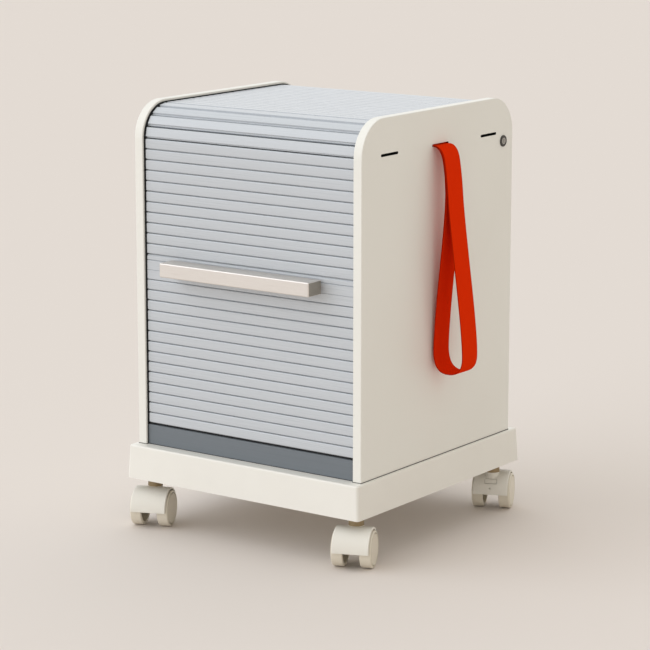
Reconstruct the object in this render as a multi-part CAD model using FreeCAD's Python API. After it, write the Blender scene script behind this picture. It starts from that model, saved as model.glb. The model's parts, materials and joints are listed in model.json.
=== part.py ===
import FreeCAD, Part
import math
import os

Vec = FreeCAD.Vector

# Frame: X to the right seen from the front, the front faces -Y, Z up, floor at Z = 0.
# All sizes are in millimetres and all angles in degrees.

# Base tray and castor seats
castor_height = 69.0
tray_height = 47.0
tray_wall = 4.0
tray_deck = 4.0
tray_overhang_side = 5.2
tray_overhang_front = 15.0
tray_flare = 2.5
tray_corner = 4.0
tray_top_round = 2.5
block_size = 36.0
stem_inset_x = 17.0
stem_inset_y = 14.0

# Cabinet body
cabinet_width = 378.0
panel_thickness = 13.5
panel_edge_round = 1.2
panel_proud = 4.3
board_thickness = 12.0
back_thickness = 6.0
cover_thickness = 3.5
cover_seat = 5.0
fit_gap = 0.2
kick_height = 28.0
kick_thickness = 10.0
inner_top_drop = 66.0
inner_top_setback = 62.0
shelf_height = 208.0
shelf_setback = 12.0
back_setback = 36.0

# Curtain of slats
slat_pitch = 14.5
slat_thickness = 8.5
slat_gap = 0.3
slat_end_gap = 2.4
slat_bevel_height = 2.2
slat_bevel_depth = 2.4
slat_step_height = 0.9
slat_step_depth = 3.0
slat_corner = 0.4
tongue_inset = 0.8
tongue_thickness = 4.2
tongue_reach = 5.5
groove_gap = 0.4
groove_end_gap = 0.7
upper_slat_count = 11
middle_slat_count = 5
lower_slat_count = 9
bend_slat_count = 4
top_slat_count = 18
handle_slat_height = 35.5
handle_lip_height = 7.8
handle_lip_groove = 1.6
handle_mid_groove = 0.8
seal_height = 2.0
seal_thickness = 5.0
seal_gap = 0.3

# Handle
bar_length = 250.0
bar_height = 19.6
bar_depth = 29.0
bar_round = 1.6
bar_gap = 4.0
bar_drop = 2.9
spacer_radius = 6.0
spacer_inset = 9.0
handle_screw_radius = 2.0
handle_screw_bite = 14.0

# Slots, strap and lock in the right side panel
slot_length = 40.0
slot_height = 3.8
slot_spacing = 120.5
slot_drop = 49.0
strap_width = 38.0
strap_thickness = 1.5
strap_start = 0.4
strap_tail_start = 3.0
strap_tail_rise = 24.0
anchor_length = 46.0
anchor_height = 18.0
anchor_thickness = 2.0
anchor_screw_radius = 1.6
anchor_screw_spacing = 42.5
lock_from_rear = 25.2
lock_drop = 61.4
lock_flange_radius = 8.0
lock_flange_thickness = 1.6
lock_body_radius = 6.6
lock_body_extra = 3.0
lock_plug_radius = 4.5
lock_spigot_radius = 3.0
lock_clearance = 0.05
lock_cam_length = 18.0
lock_cam_width = 9.0
lock_cam_thickness = 2.0
lock_screw_depth = 8.0
key_slot_width = 1.2
key_slot_length = 6.0
key_slot_depth = 6.0

# Castors
wheel_radius = 25.0
wheel_width = 16.0
wheel_space = 22.8
wheel_rim = 4.5
wheel_web = 5.0
wheel_round = 2.0
wheel_inner_round = 1.5
wheel_line_inset = 0.5
wheel_line_width = 1.4
wheel_line_depth = 4.0
hub_radius = 8.0
hub_gap = 0.3
hood_wall = 2.7
hood_round = 1.1
hood_clearance = 1.8
hood_inset = 2.4
hood_skirt_height = 24.5
hood_web = 10.0
axle_radius = 3.0
axle_boss_radius = 6.5
axle_clearance = 0.05
castor_trail = 10.0
front_castor_turn = 22.2
rear_castor_turn = 202.2
stem_radius = 5.5
stem_clearance = 0.05
stem_collar_radius = 11.0
stem_collar_thickness = 5.0
stem_reach = 30.0
stem_depth = 26.0
boss_wall = 3.5
boss_floor = 2.0
neck_radius_top = 10.0
neck_radius_bottom = 11.0
neck_gap = 0.5
brake_width = 16.4
brake_angle_low = 31.0
brake_angle_high = 44.0
brake_thickness = 2.0
brake_proud = 0.2
brake_gap = 0.4
brake_end_gap = 1.2
brake_pin_setback = 3.0
brake_hole_angle = 16.5
brake_hole_radius = 1.3
brake_hole_depth = 4.0
brake_travel_depth = 2.6
brake_pin_radius = 0.9
brake_pin_length = 1.2

# Fasteners
dowel_radius = 4.0
dowel_length = 24.0
dowel_panel_depth = 9.0
dowel_spacing = 110.0
screw_radius = 2.0
screw_head_radius = 4.0
screw_head_height = 2.4
screw_length = 34.0
panel_screw_spacing = 120.0
small_screw_radius = 1.5
small_screw_head_radius = 3.0
small_screw_head_height = 1.6
small_screw_length = 16.0
back_screw_spacing = 130.0
cover_screw_spacing = 180.0
cover_screw_land = 0.8
shelf_pin_radius = 2.5
shelf_pin_bite = 8.0
shelf_pin_reach = 9.0
shelf_pin_setback = 40.0
hole_clearance = 0.05

# How far a cutting shape runs past the face it opens, and the length taken as none
over = 1.0
tiny = 1e-3

# Heights and depths worked out from the driving sizes
deck_z = castor_height + tray_height
half_width = cabinet_width / 2
inner_x = half_width - panel_thickness
bend_half_angle = 45.0 / bend_slat_count
hinge_radius = slat_pitch / (2 * math.sin(math.radians(bend_half_angle)))
panel_corner = hinge_radius + slat_thickness + panel_proud
run_length = (upper_slat_count + middle_slat_count) * slat_pitch + handle_slat_height
cabinet_depth = run_length + 2 * panel_corner
half_depth = cabinet_depth / 2
curtain_bottom = deck_z + kick_height + seal_height + seal_gap
lower_top = curtain_bottom + lower_slat_count * slat_pitch
handle_slat_z = lower_top + middle_slat_count * slat_pitch
arc_z = lower_top + run_length
panel_top = arc_z + panel_corner
front_hinge_y = -half_depth + panel_proud + slat_thickness
rear_hinge_y = -front_hinge_y
groove_reach = tongue_inset + tongue_thickness + groove_gap
cover_screw_length = half_depth - fit_gap - rear_hinge_y - groove_reach - cover_screw_land
slat_face_y = front_hinge_y - slat_thickness
pole_z = arc_z - run_length / 2
top_pitch = run_length / top_slat_count
slot_z = panel_top - slot_drop
lock_y = half_depth - lock_from_rear
lock_z = panel_top - lock_drop
inner_top_z = panel_top - inner_top_drop
shelf_z = deck_z + shelf_height
back_y = half_depth - back_setback
board_front_y = slat_face_y + kick_thickness + fit_gap
stem_x = half_width - stem_inset_x
stem_y = half_depth - stem_inset_y
bar_top_z = handle_slat_z + handle_slat_height - bar_drop
bar_rear_y = slat_face_y - bar_gap


def block(x0, x1, y0, y1, z0, z1):
    return Part.makeBox(x1 - x0, y1 - y0, z1 - z0, Vec(x0, y0, z0))


def rod(radius, start, end):
    axis = end - start
    return Part.makeCylinder(radius, axis.Length, start, axis)


def along_x(points, x0, x1):
    # a closed (y, z) outline drawn out from x0 to x1
    corners = [Vec(x0, y, z) for y, z in points]
    face = Part.Face(Part.makePolygon(corners + corners[:1]))
    return face.extrude(Vec(x1 - x0, 0, 0))


def track_face(offset, x):
    # area inside the curtain's path, moved outwards from the hinge line by offset
    radius = hinge_radius + offset
    diagonal = radius * math.sqrt(0.5)
    front, rear = front_hinge_y - offset, rear_hinge_y + offset
    front_centre, rear_centre = front_hinge_y + hinge_radius, rear_hinge_y - hinge_radius
    a = Vec(x, front, deck_z)
    b = Vec(x, front, arc_z)
    c = Vec(x, front_centre - diagonal, arc_z + diagonal)
    d = Vec(x, front_centre, arc_z + radius)
    e = Vec(x, rear_centre, arc_z + radius)
    f = Vec(x, rear_centre + diagonal, arc_z + diagonal)
    g = Vec(x, rear, arc_z)
    h = Vec(x, rear, deck_z)
    edges = [
        Part.LineSegment(a, b).toShape(),
        Part.Arc(b, c, d).toShape(),
        Part.LineSegment(d, e).toShape(),
        Part.Arc(e, f, g).toShape(),
        Part.LineSegment(g, h).toShape(),
        Part.LineSegment(h, a).toShape(),
    ]
    return Part.Face(Part.Wire(edges))


def stadium(length, height, x0, x1, y, z):
    # a round-ended slot along Y
    half = length / 2 - height / 2
    middle = block(x0, x1, y - half, y + half, z - height / 2, z + height / 2)
    ends = [rod(height / 2, Vec(x0, y + s * half, z), Vec(x1, y + s * half, z)) for s in (-1, 1)]
    return middle.fuse(ends).removeSplitter()


def dowel_places():
    # x side, y and z of each dowel that ties a board to a side panel
    bottom_z = deck_z + board_thickness / 2
    top_z = inner_top_z - board_thickness / 2
    return [(s, y, z) for s in (-1, 1) for z in (bottom_z, top_z) for y in (-dowel_spacing, dowel_spacing)]


def dowel(side, y, z, clearance):
    outer = side * (inner_x + dowel_panel_depth + clearance)
    inner = side * (inner_x + dowel_panel_depth - dowel_length - clearance)
    return rod(dowel_radius + clearance, Vec(inner, y, z), Vec(outer, y, z))


def shelf_pin_places():
    front = board_front_y + shelf_pin_setback
    rear = back_y - shelf_pin_setback
    return [(s, y) for s in (-1, 1) for y in (front, rear)]


def shelf_pin(side, y, clearance):
    z = shelf_z - shelf_pin_radius
    start = Vec(side * (inner_x - shelf_pin_reach), y, z)
    end = Vec(side * (inner_x + shelf_pin_bite + clearance), y, z)
    return rod(shelf_pin_radius + clearance, start, end)


def panel_screw_places():
    x = half_width - panel_thickness / 2
    return [(s * x, y) for s in (-1, 1) for y in (-panel_screw_spacing, 0.0, panel_screw_spacing)]


def panel_screw(x, y, clearance):
    seat = deck_z - tray_deck
    shank = rod(screw_radius + clearance, Vec(x, y, seat), Vec(x, y, seat + screw_length + clearance))
    if clearance:
        return shank
    head = rod(screw_head_radius, Vec(x, y, seat - screw_head_height), Vec(x, y, seat))
    return shank.fuse(head).removeSplitter()


def back_screw_places():
    heights = (deck_z + board_thickness / 2, inner_top_z - board_thickness / 2)
    return [(x, z) for z in heights for x in (-back_screw_spacing, 0.0, back_screw_spacing)]


def back_screw(x, z, clearance):
    face = back_y + back_thickness
    tip = Vec(x, face - small_screw_length - clearance, z)
    shank = rod(small_screw_radius + clearance, tip, Vec(x, face, z))
    if clearance:
        return shank
    head = rod(small_screw_head_radius, Vec(x, face, z), Vec(x, face + small_screw_head_height, z))
    return shank.fuse(head).removeSplitter()


def cover_screw_places():
    x = inner_x + cover_seat / 2
    middle = (deck_z + arc_z) / 2
    return [(s * x, middle + k * cover_screw_spacing) for s in (-1, 1) for k in (-1, 0, 1)]


def cover_screw(x, z, clearance):
    # countersunk flush in the rear cover, and short of the slats' groove
    face = half_depth - fit_gap
    head_end = face - small_screw_head_height
    tip = Vec(x, face - cover_screw_length - clearance, z)
    shank = rod(small_screw_radius + clearance, tip, Vec(x, face, z))
    small = small_screw_radius + clearance
    wide = cover_seat / 2 - fit_gap + clearance
    head = Part.makeCone(small, wide, small_screw_head_height, Vec(x, head_end, z), Vec(0, 1, 0))
    return shank.fuse(head).removeSplitter()


def side_panel(side):
    outer, inner = side * half_width, side * inner_x
    radius = panel_corner
    diagonal = radius * math.sqrt(0.5)
    bend_y = half_depth - radius
    bend_z = panel_top - radius
    a = Vec(inner, -half_depth, deck_z)
    b = Vec(inner, -half_depth, bend_z)
    c = Vec(inner, -bend_y - diagonal, bend_z + diagonal)
    d = Vec(inner, -bend_y, panel_top)
    e = Vec(inner, bend_y, panel_top)
    f = Vec(inner, bend_y + diagonal, bend_z + diagonal)
    g = Vec(inner, half_depth, bend_z)
    h = Vec(inner, half_depth, deck_z)
    outline = Part.Wire([
        Part.LineSegment(a, b).toShape(),
        Part.Arc(b, c, d).toShape(),
        Part.LineSegment(d, e).toShape(),
        Part.Arc(e, f, g).toShape(),
        Part.LineSegment(g, h).toShape(),
        Part.LineSegment(h, a).toShape(),
    ])
    panel = Part.Face(outline).extrude(Vec(outer - inner, 0, 0))
    # every edge round the outline is eased, so the foot shows a fine joint above the tray
    eased = [edge for edge in panel.Edges if edge.BoundBox.XLength < tiny]
    panel = panel.makeFillet(panel_edge_round, eased)
    # groove that the slats' tongues run in
    groove_outer = track_face(groove_reach, inner)
    groove_inner = track_face(-groove_gap, inner)
    depth = side * (tongue_reach + groove_end_gap)
    cuts = [groove_outer.cut(groove_inner).extrude(Vec(depth, 0, 0))]
    # seat for the rear cover
    x0, x1 = sorted((inner, inner + side * cover_seat))
    seat_y = half_depth - fit_gap - cover_thickness
    cuts.append(block(x0, x1, seat_y, half_depth + over, deck_z, arc_z))
    cuts += [dowel(s, y, z, hole_clearance) for s, y, z in dowel_places() if s == side]
    cuts += [shelf_pin(s, y, hole_clearance) for s, y in shelf_pin_places() if s == side]
    cuts += [panel_screw(x, y, hole_clearance) for x, y in panel_screw_places() if x * side > 0]
    cuts += [cover_screw(x, z, hole_clearance) for x, z in cover_screw_places() if x * side > 0]
    if side > 0:
        cuts += right_panel_cuts()
    return panel.cut(cuts).removeSplitter()


def right_panel_cuts():
    x0, x1 = inner_x - over, half_width + over
    cuts = [stadium(slot_length, slot_height, x0, x1, k * slot_spacing, slot_z) for k in (-1, 0, 1)]
    start, end = Vec(x0, lock_y, lock_z), Vec(x1, lock_y, lock_z)
    cuts.append(rod(lock_body_radius + hole_clearance, start, end))
    cuts += [anchor_screw(y, hole_clearance) for y in anchor_screw_places()]
    return cuts


def rounded_rectangle(half_x, half_y, corner, z):
    diagonal = corner * (1 - math.sqrt(0.5))
    x, y = half_x, half_y
    c = corner
    sides = [
        ((x, -y + c), (x, y - c), (x - diagonal, y - diagonal), (x - c, y)),
        ((x - c, y), (-x + c, y), (-x + diagonal, y - diagonal), (-x, y - c)),
        ((-x, y - c), (-x, -y + c), (-x + diagonal, -y + diagonal), (-x + c, -y)),
        ((-x + c, -y), (x - c, -y), (x - diagonal, -y + diagonal), (x, -y + c)),
    ]
    edges = []
    for start, end, mid, after in sides:
        p, q, m, r = (Vec(u, v, z) for u, v in (start, end, mid, after))
        edges.append(Part.LineSegment(p, q).toShape())
        edges.append(Part.Arc(q, m, r).toShape())
    return Part.Wire(edges)


def tapered_block(grow, z0, z1):
    # the tray's outside shape between two heights, grown outwards by grow
    corner = max(tray_corner + grow, 1.0)
    wires = []
    for z in (z0, z1):
        lean = tray_flare * (deck_z - z) / tray_height + grow
        half_x = half_width + tray_overhang_side + lean
        half_y = half_depth + tray_overhang_front + lean
        wires.append(rounded_rectangle(half_x, half_y, corner, z))
    return Part.makeLoft(wires, True, True)


def base_tray():
    tray = tapered_block(0.0, castor_height, deck_z)
    rim = [e for e in tray.Edges if e.BoundBox.ZMin > deck_z - tiny]
    tray = tray.makeFillet(tray_top_round, rim)
    hollow = tapered_block(-tray_wall, castor_height, deck_z - tray_deck)
    holes = [panel_screw(x, y, hole_clearance) for x, y in panel_screw_places()]
    return tray.cut([hollow] + holes).removeSplitter()


def stem_places():
    return [(sx * stem_x, sy * stem_y) for sy in (-1, 1) for sx in (-1, 1)]


def castor_blocks():
    # corner blocks under the deck that take the castor stems
    half = block_size / 2
    blocks = []
    for x, y in stem_places():
        body = block(x - half, x + half, y - half, y + half, castor_height, deck_z - tray_deck)
        top = castor_height + stem_reach
        socket = rod(stem_radius + hole_clearance, Vec(x, y, castor_height), Vec(x, y, top))
        blocks.append(body.cut(socket))
    return blocks


def castor_stems():
    stems = []
    for x, y in stem_places():
        foot = castor_height - stem_depth
        pin = rod(stem_radius, Vec(x, y, foot), Vec(x, y, castor_height + stem_reach))
        collar_foot = castor_height - stem_collar_thickness
        collar = rod(stem_collar_radius, Vec(x, y, collar_foot), Vec(x, y, castor_height))
        stems.append(pin.fuse(collar).removeSplitter())
    return stems


def board(y0, y1, top_z, thickness):
    half = inner_x - fit_gap
    return block(-half, half, y0, y1, top_z - thickness, top_z)


def drilled(body, z, screws):
    holes = [dowel(s, y, dz, hole_clearance) for s, y, dz in dowel_places() if abs(dz - z) < 1]
    holes += [back_screw(x, sz, hole_clearance) for x, sz in screws if abs(sz - z) < 1]
    return body.cut(holes)


def bottom_board():
    top = deck_z + board_thickness
    body = board(board_front_y, back_y - fit_gap / 2, top, board_thickness)
    return drilled(body, top - board_thickness / 2, back_screw_places())


def inner_top_board():
    front = -half_depth + inner_top_setback
    body = board(front, back_y - fit_gap / 2, inner_top_z, board_thickness)
    return drilled(body, inner_top_z - board_thickness / 2, back_screw_places())


def shelf():
    front = board_front_y + shelf_setback
    return board(front, back_y - fit_gap, shelf_z + board_thickness, board_thickness)


def inner_back_panel():
    half = inner_x - fit_gap
    body = block(-half, half, back_y, back_y + back_thickness, deck_z, inner_top_z)
    return body.cut([back_screw(x, z, hole_clearance) for x, z in back_screw_places()])


def rear_cover():
    half = inner_x + cover_seat - fit_gap
    face = half_depth - fit_gap
    body = block(-half, half, face - cover_thickness, face, deck_z, arc_z - fit_gap)
    return body.cut([cover_screw(x, z, hole_clearance) for x, z in cover_screw_places()])


def kick_strip():
    half = inner_x - fit_gap
    return block(-half, half, slat_face_y, slat_face_y + kick_thickness, deck_z, deck_z + kick_height)


def slat_outline(height):
    # (along, out) corners of one slat: bevel on its upper edge, step under its lower edge
    low, high, face = slat_gap / 2, height - slat_gap / 2, slat_thickness
    return [
        (low, 0.0),
        (low, face - slat_step_depth),
        (low + slat_step_height, face - slat_step_depth),
        (low + slat_step_height, face - slat_corner),
        (low + slat_step_height + slat_corner, face),
        (high - slat_bevel_height, face),
        (high, face - slat_bevel_depth),
        (high, 0.0),
    ]


def vee(at, size):
    # corners of a groove across the outer face
    face = slat_thickness
    return [(at - size / 2, face), (at, face - size), (at + size / 2, face)]


def handle_slat_outline():
    corners = slat_outline(handle_slat_height)
    lip = handle_slat_height - handle_lip_height
    return corners[:5] + vee(lip / 2, handle_mid_groove) + vee(lip, handle_lip_groove) + corners[5:]


def slat(base, angle, height, outline):
    # base is the (y, z) of the lower hinge line; angle 0 stands up at the front, 90 lies on top
    turn = math.radians(angle)
    y, z = base

    def place(corners):
        sin, cos = math.sin(turn), math.cos(turn)
        return [(y + h * sin - n * cos, z + h * cos + n * sin) for h, n in corners]

    reach = inner_x - slat_end_gap
    body = along_x(place(outline), -reach, reach)
    low, high = tongue_inset, height - tongue_inset
    near, far = tongue_inset, tongue_inset + tongue_thickness
    tongue = along_x(
        place([(low, near), (low, far), (high, far), (high, near)]),
        -inner_x - tongue_reach,
        inner_x + tongue_reach,
    )
    return body.fuse(tongue).removeSplitter()


def front_slats(count, bottom):
    outline = slat_outline(slat_pitch)
    return [slat((front_hinge_y, bottom + k * slat_pitch), 0.0, slat_pitch, outline) for k in range(count)]


def top_slats():
    outline = slat_outline(top_pitch)
    start, z = front_hinge_y + hinge_radius, arc_z + hinge_radius
    return [slat((start + k * top_pitch, z), 90.0, top_pitch, outline) for k in range(top_slat_count)]


def bend_slats(centre_y, first_angle):
    outline = slat_outline(slat_pitch)
    slats = []
    for k in range(bend_slat_count):
        angle = first_angle + 2 * bend_half_angle * k
        turn = math.radians(angle)
        base = (centre_y - hinge_radius * math.cos(turn), arc_z + hinge_radius * math.sin(turn))
        slats.append(slat(base, angle + bend_half_angle, slat_pitch, outline))
    return slats


def bottom_seal():
    half = inner_x - slat_end_gap
    front = slat_face_y + slat_step_depth
    return block(-half, half, front, front + seal_thickness, curtain_bottom - seal_height, curtain_bottom)


def spacer_places():
    reach = bar_length / 2 - spacer_inset
    return [(s * reach, bar_top_z - bar_height / 2) for s in (-1, 1)]


def handle_screw(x, z, clearance):
    # driven from inside the slat into the bar
    inside = front_hinge_y
    tip = Vec(x, bar_rear_y - handle_screw_bite - clearance, z)
    shank = rod(handle_screw_radius + clearance, tip, Vec(x, inside, z))
    if clearance:
        return shank
    head = rod(screw_head_radius, Vec(x, inside, z), Vec(x, inside + screw_head_height, z))
    return shank.fuse(head).removeSplitter()


def handle_slat():
    body = slat((front_hinge_y, handle_slat_z), 0.0, handle_slat_height, handle_slat_outline())
    return body.cut([handle_screw(x, z, hole_clearance) for x, z in spacer_places()])


def handle_bar():
    half = bar_length / 2
    body = block(-half, half, bar_rear_y - bar_depth, bar_rear_y, bar_top_z - bar_height, bar_top_z)
    body = body.makeFillet(bar_round, body.Edges)
    return body.cut([handle_screw(x, z, hole_clearance) for x, z in spacer_places()])


def handle_spacers():
    spacers = []
    for x, z in spacer_places():
        disc = rod(spacer_radius, Vec(x, bar_rear_y, z), Vec(x, slat_face_y, z))
        spacers.append(disc.cut(handle_screw(x, z, hole_clearance)))
    return spacers


def lock_point(x):
    return Vec(x, lock_y, lock_z)


def lock_barrel():
    end = inner_x - lock_body_extra
    face = half_width + lock_flange_thickness
    body = rod(lock_body_radius, lock_point(end), lock_point(half_width))
    flange = rod(lock_flange_radius, lock_point(half_width), lock_point(face))
    rim = [e for e in flange.Edges if e.BoundBox.XMin > face - tiny and e.BoundBox.XLength < tiny]
    flange = flange.makeFillet(lock_flange_thickness / 2, rim)
    bore = rod(lock_plug_radius + lock_clearance, lock_point(end), lock_point(face))
    return body.fuse(flange).cut(bore).removeSplitter()


def lock_cylinder():
    end = inner_x - lock_body_extra
    face = half_width + lock_flange_thickness
    plug = rod(lock_plug_radius, lock_point(end), lock_point(face))
    spigot = rod(lock_spigot_radius, lock_point(end - lock_cam_thickness), lock_point(end))
    half_slot, half_long = key_slot_width / 2, key_slot_length / 2
    key = block(
        face - key_slot_depth,
        face + over,
        lock_y - half_slot,
        lock_y + half_slot,
        lock_z - half_long,
        lock_z + half_long,
    )
    seat = end - lock_cam_thickness
    bottom = lock_point(end + lock_screw_depth)
    screw = rod(small_screw_radius + hole_clearance, lock_point(seat), bottom)
    return plug.fuse(spigot).cut([key, screw]).removeSplitter()


def lock_cam():
    # hangs down when the lock is open, and turns back into the slats' path
    x1 = inner_x - lock_body_extra - fit_gap / 2
    x0 = x1 - lock_cam_thickness + fit_gap / 2
    half = lock_cam_width / 2
    bar = block(x0, x1, lock_y - half, lock_y + half, lock_z - lock_cam_length, lock_z)
    head = rod(half, lock_point(x0), lock_point(x1))
    hole = rod(lock_spigot_radius, lock_point(x0), lock_point(x1))
    return bar.fuse(head).cut(hole).removeSplitter()


def lock_cam_screw():
    seat = inner_x - lock_body_extra - lock_cam_thickness
    head = rod(screw_head_radius, lock_point(seat - small_screw_head_height), lock_point(seat))
    shank = rod(small_screw_radius, lock_point(seat), lock_point(seat + lock_screw_depth))
    return head.fuse(shank).removeSplitter()


def anchor_screw_places():
    return [k * anchor_screw_spacing / 2 for k in (-1, 1)]


def anchor_face_x():
    return inner_x - 2 * strap_thickness


def anchor_screw(y, clearance):
    z = slot_z + strap_tail_rise - anchor_height / 2
    seat = anchor_face_x() - anchor_thickness
    tip = Vec(inner_x + shelf_pin_bite + clearance, y, z)
    shank = rod(anchor_screw_radius + clearance, Vec(seat, y, z), tip)
    if clearance:
        return shank
    head = rod(small_screw_head_radius, Vec(seat - small_screw_head_height, y, z), Vec(seat, y, z))
    return shank.fuse(head).removeSplitter()


def strap_anchor():
    # plate that clamps both strap ends against the inside of the panel
    x1 = anchor_face_x()
    z1 = slot_z + strap_tail_rise
    half = anchor_length / 2 + small_screw_head_radius
    plate = block(x1 - anchor_thickness, x1, -half, half, z1 - anchor_height, z1)
    return plate.cut([anchor_screw(y, hole_clearance) for y in anchor_screw_places()])


def strap_tail():
    # both plies of webbing inside the slot, turned up behind the anchor plate
    plies = 2 * strap_thickness
    half = strap_width / 2
    low = slot_z - plies / 2
    run = block(inner_x - plies, half_width - strap_tail_start, -half, half, low, low + plies)
    rise = block(inner_x - plies, inner_x, -half, half, low, slot_z + strap_tail_rise)
    return run.fuse(rise).removeSplitter()


# Loop of the strap as (out from the panel, up from the slot, corner radius), along its middle line
strap_route = [
    (strap_start, 0.85, 0.0),
    (15.5, 0.85, 9.0),
    (23.0, -45.0, 120.0),
    (26.5, -92.0, 150.0),
    (50.5, -262.0, 60.0),
    (49.5, -309.0, 21.0),
    (3.5, -309.0, 20.0),
    (4.5, -245.0, 90.0),
    (20.6, -92.0, 150.0),
    (20.9, -45.0, 120.0),
    (13.4, -0.85, 7.0),
    (strap_start, -0.85, 0.0),
]


def strap_lines():
    # tangent points of the route: straight runs joined by arcs
    points = [Vec(half_width + out, 0, slot_z + up) for out, up, r in strap_route]
    corners = []
    for k in range(1, len(points) - 1):
        back = (points[k - 1] - points[k]).normalize()
        ahead = (points[k + 1] - points[k]).normalize()
        half = math.acos(max(-1.0, min(1.0, back.dot(ahead)))) / 2
        radius = strap_route[k][2]
        reach = radius / math.tan(half)
        middle = (back + ahead).normalize()
        centre = points[k] + middle * (radius / math.sin(half))
        corners.append((points[k] + back * reach, centre, points[k] + ahead * reach, radius))
    return points[0], corners, points[-1]


def strap_side(offset):
    # one face of the webbing, as edges from the route's start to its end
    start, corners, end = strap_lines()

    def across(direction):
        return Vec(-direction.z, 0, direction.x).normalize() * offset

    edges = []
    first = start + across(corners[0][0] - start)
    last, before = first, start
    for enter, centre, leave, radius in corners:
        outside = across(enter - before).dot(centre - enter) < 0
        reach = radius + (abs(offset) if outside else -abs(offset))
        into, out = (enter - centre).normalize(), (leave - centre).normalize()
        a, b = centre + into * reach, centre + out * reach
        middle = centre + (into + out).normalize() * reach
        edges.append(Part.LineSegment(last, a).toShape())
        edges.append(Part.Arc(a, middle, b).toShape())
        last, before = b, leave
    final = end + across(end - corners[-1][2])
    edges.append(Part.LineSegment(last, final).toShape())
    return edges, first, final


def strap_length():
    start, corners, end = strap_lines()
    total, last = 0.0, start
    for enter, centre, leave, radius in corners:
        total += (enter - last).Length
        total += radius * (enter - centre).getAngle(leave - centre)
        last = leave
    return total + (end - last).Length


def pull_strap():
    left, left_start, left_end = strap_side(strap_thickness / 2)
    right, right_start, right_end = strap_side(-strap_thickness / 2)
    cap_start = Part.LineSegment(left_start, right_start).toShape()
    cap_end = Part.LineSegment(left_end, right_end).toShape()
    wire = Part.Wire(Part.__sortEdges__(left + right + [cap_start, cap_end]))
    face = Part.Face(wire)
    face.translate(Vec(0, -strap_width / 2, 0))
    return face.extrude(Vec(0, strap_width, 0))


def castor_place(shape, x, y, turn):
    placed = shape.copy()
    placed.rotate(Vec(0, 0, 0), Vec(0, 0, 1), turn)
    placed.translate(Vec(x, y, 0))
    return placed


def axle_point(x):
    return Vec(x, -castor_trail, wheel_radius)


def turned_x(points):
    # a closed (x, radius) outline turned about the axle
    corners = [Vec(x, -castor_trail, wheel_radius + r) for x, r in points]
    face = Part.Face(Part.makePolygon(corners + corners[:1]))
    return face.revolve(axle_point(0), Vec(1, 0, 0), 360)


def tread_edges(wheel, x):
    edges = []
    for edge in wheel.Edges:
        box = edge.BoundBox
        flat = box.XLength < tiny and abs(abs(box.XMin) - x) < tiny
        if flat and abs(box.ZLength - 2 * wheel_radius) < tiny:
            edges.append(edge)
    return edges


def castor_wheel(side):
    near = wheel_space / 2
    far = near + wheel_width
    hub = hood_web / 2 + hub_gap
    web = far - wheel_web
    bore = axle_radius + axle_clearance
    cap = far - wheel_web / 2
    tread_inside = wheel_radius - wheel_rim
    line = wheel_radius - wheel_round - wheel_line_inset
    outline = [
        (hub, bore),
        (hub, hub_radius),
        (web, hub_radius),
        (web, tread_inside),
        (near, tread_inside),
        (near, wheel_radius),
        (far, wheel_radius),
        (far, line),
        (far - wheel_line_depth, line),
        (far - wheel_line_depth, line - wheel_line_width),
        (far, line - wheel_line_width),
        (far, 0.0),
        (cap, 0.0),
        (cap, bore),
    ]
    wheel = turned_x([(side * x, r) for x, r in outline])
    for x, radius in ((far, wheel_round), (near, wheel_inner_round)):
        wheel = wheel.makeFillet(radius, tread_edges(wheel, x))
    return wheel


def castor_axle():
    reach = wheel_space / 2 + wheel_width - wheel_web / 2 - hub_gap
    return rod(axle_radius, axle_point(-reach), axle_point(reach))


def hood_radius():
    return wheel_radius + hood_clearance + hood_wall


def drum_point(x, radius, angle):
    # a point round the axle, on the stem's side, at an angle above it
    turn = math.radians(angle)
    return axle_point(x) + Vec(0, radius * math.cos(turn), radius * math.sin(turn))


def brake_pin_place():
    pin = drum_point(0, hood_radius() - hood_wall / 2, brake_angle_high - brake_pin_setback)
    return pin.y, pin.z


def drum_sector(half_width_x, r0, r1, low, high):
    # a piece of a ring about the axle between two angles
    def at(radius, angle):
        return drum_point(-half_width_x, radius, angle)

    middle = (low + high) / 2
    wire = Part.Wire([
        Part.Arc(at(r1, low), at(r1, middle), at(r1, high)).toShape(),
        Part.LineSegment(at(r1, high), at(r0, high)).toShape(),
        Part.Arc(at(r0, high), at(r0, middle), at(r0, low)).toShape(),
        Part.LineSegment(at(r0, low), at(r1, low)).toShape(),
    ])
    return Part.Face(wire).extrude(Vec(2 * half_width_x, 0, 0))


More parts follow.
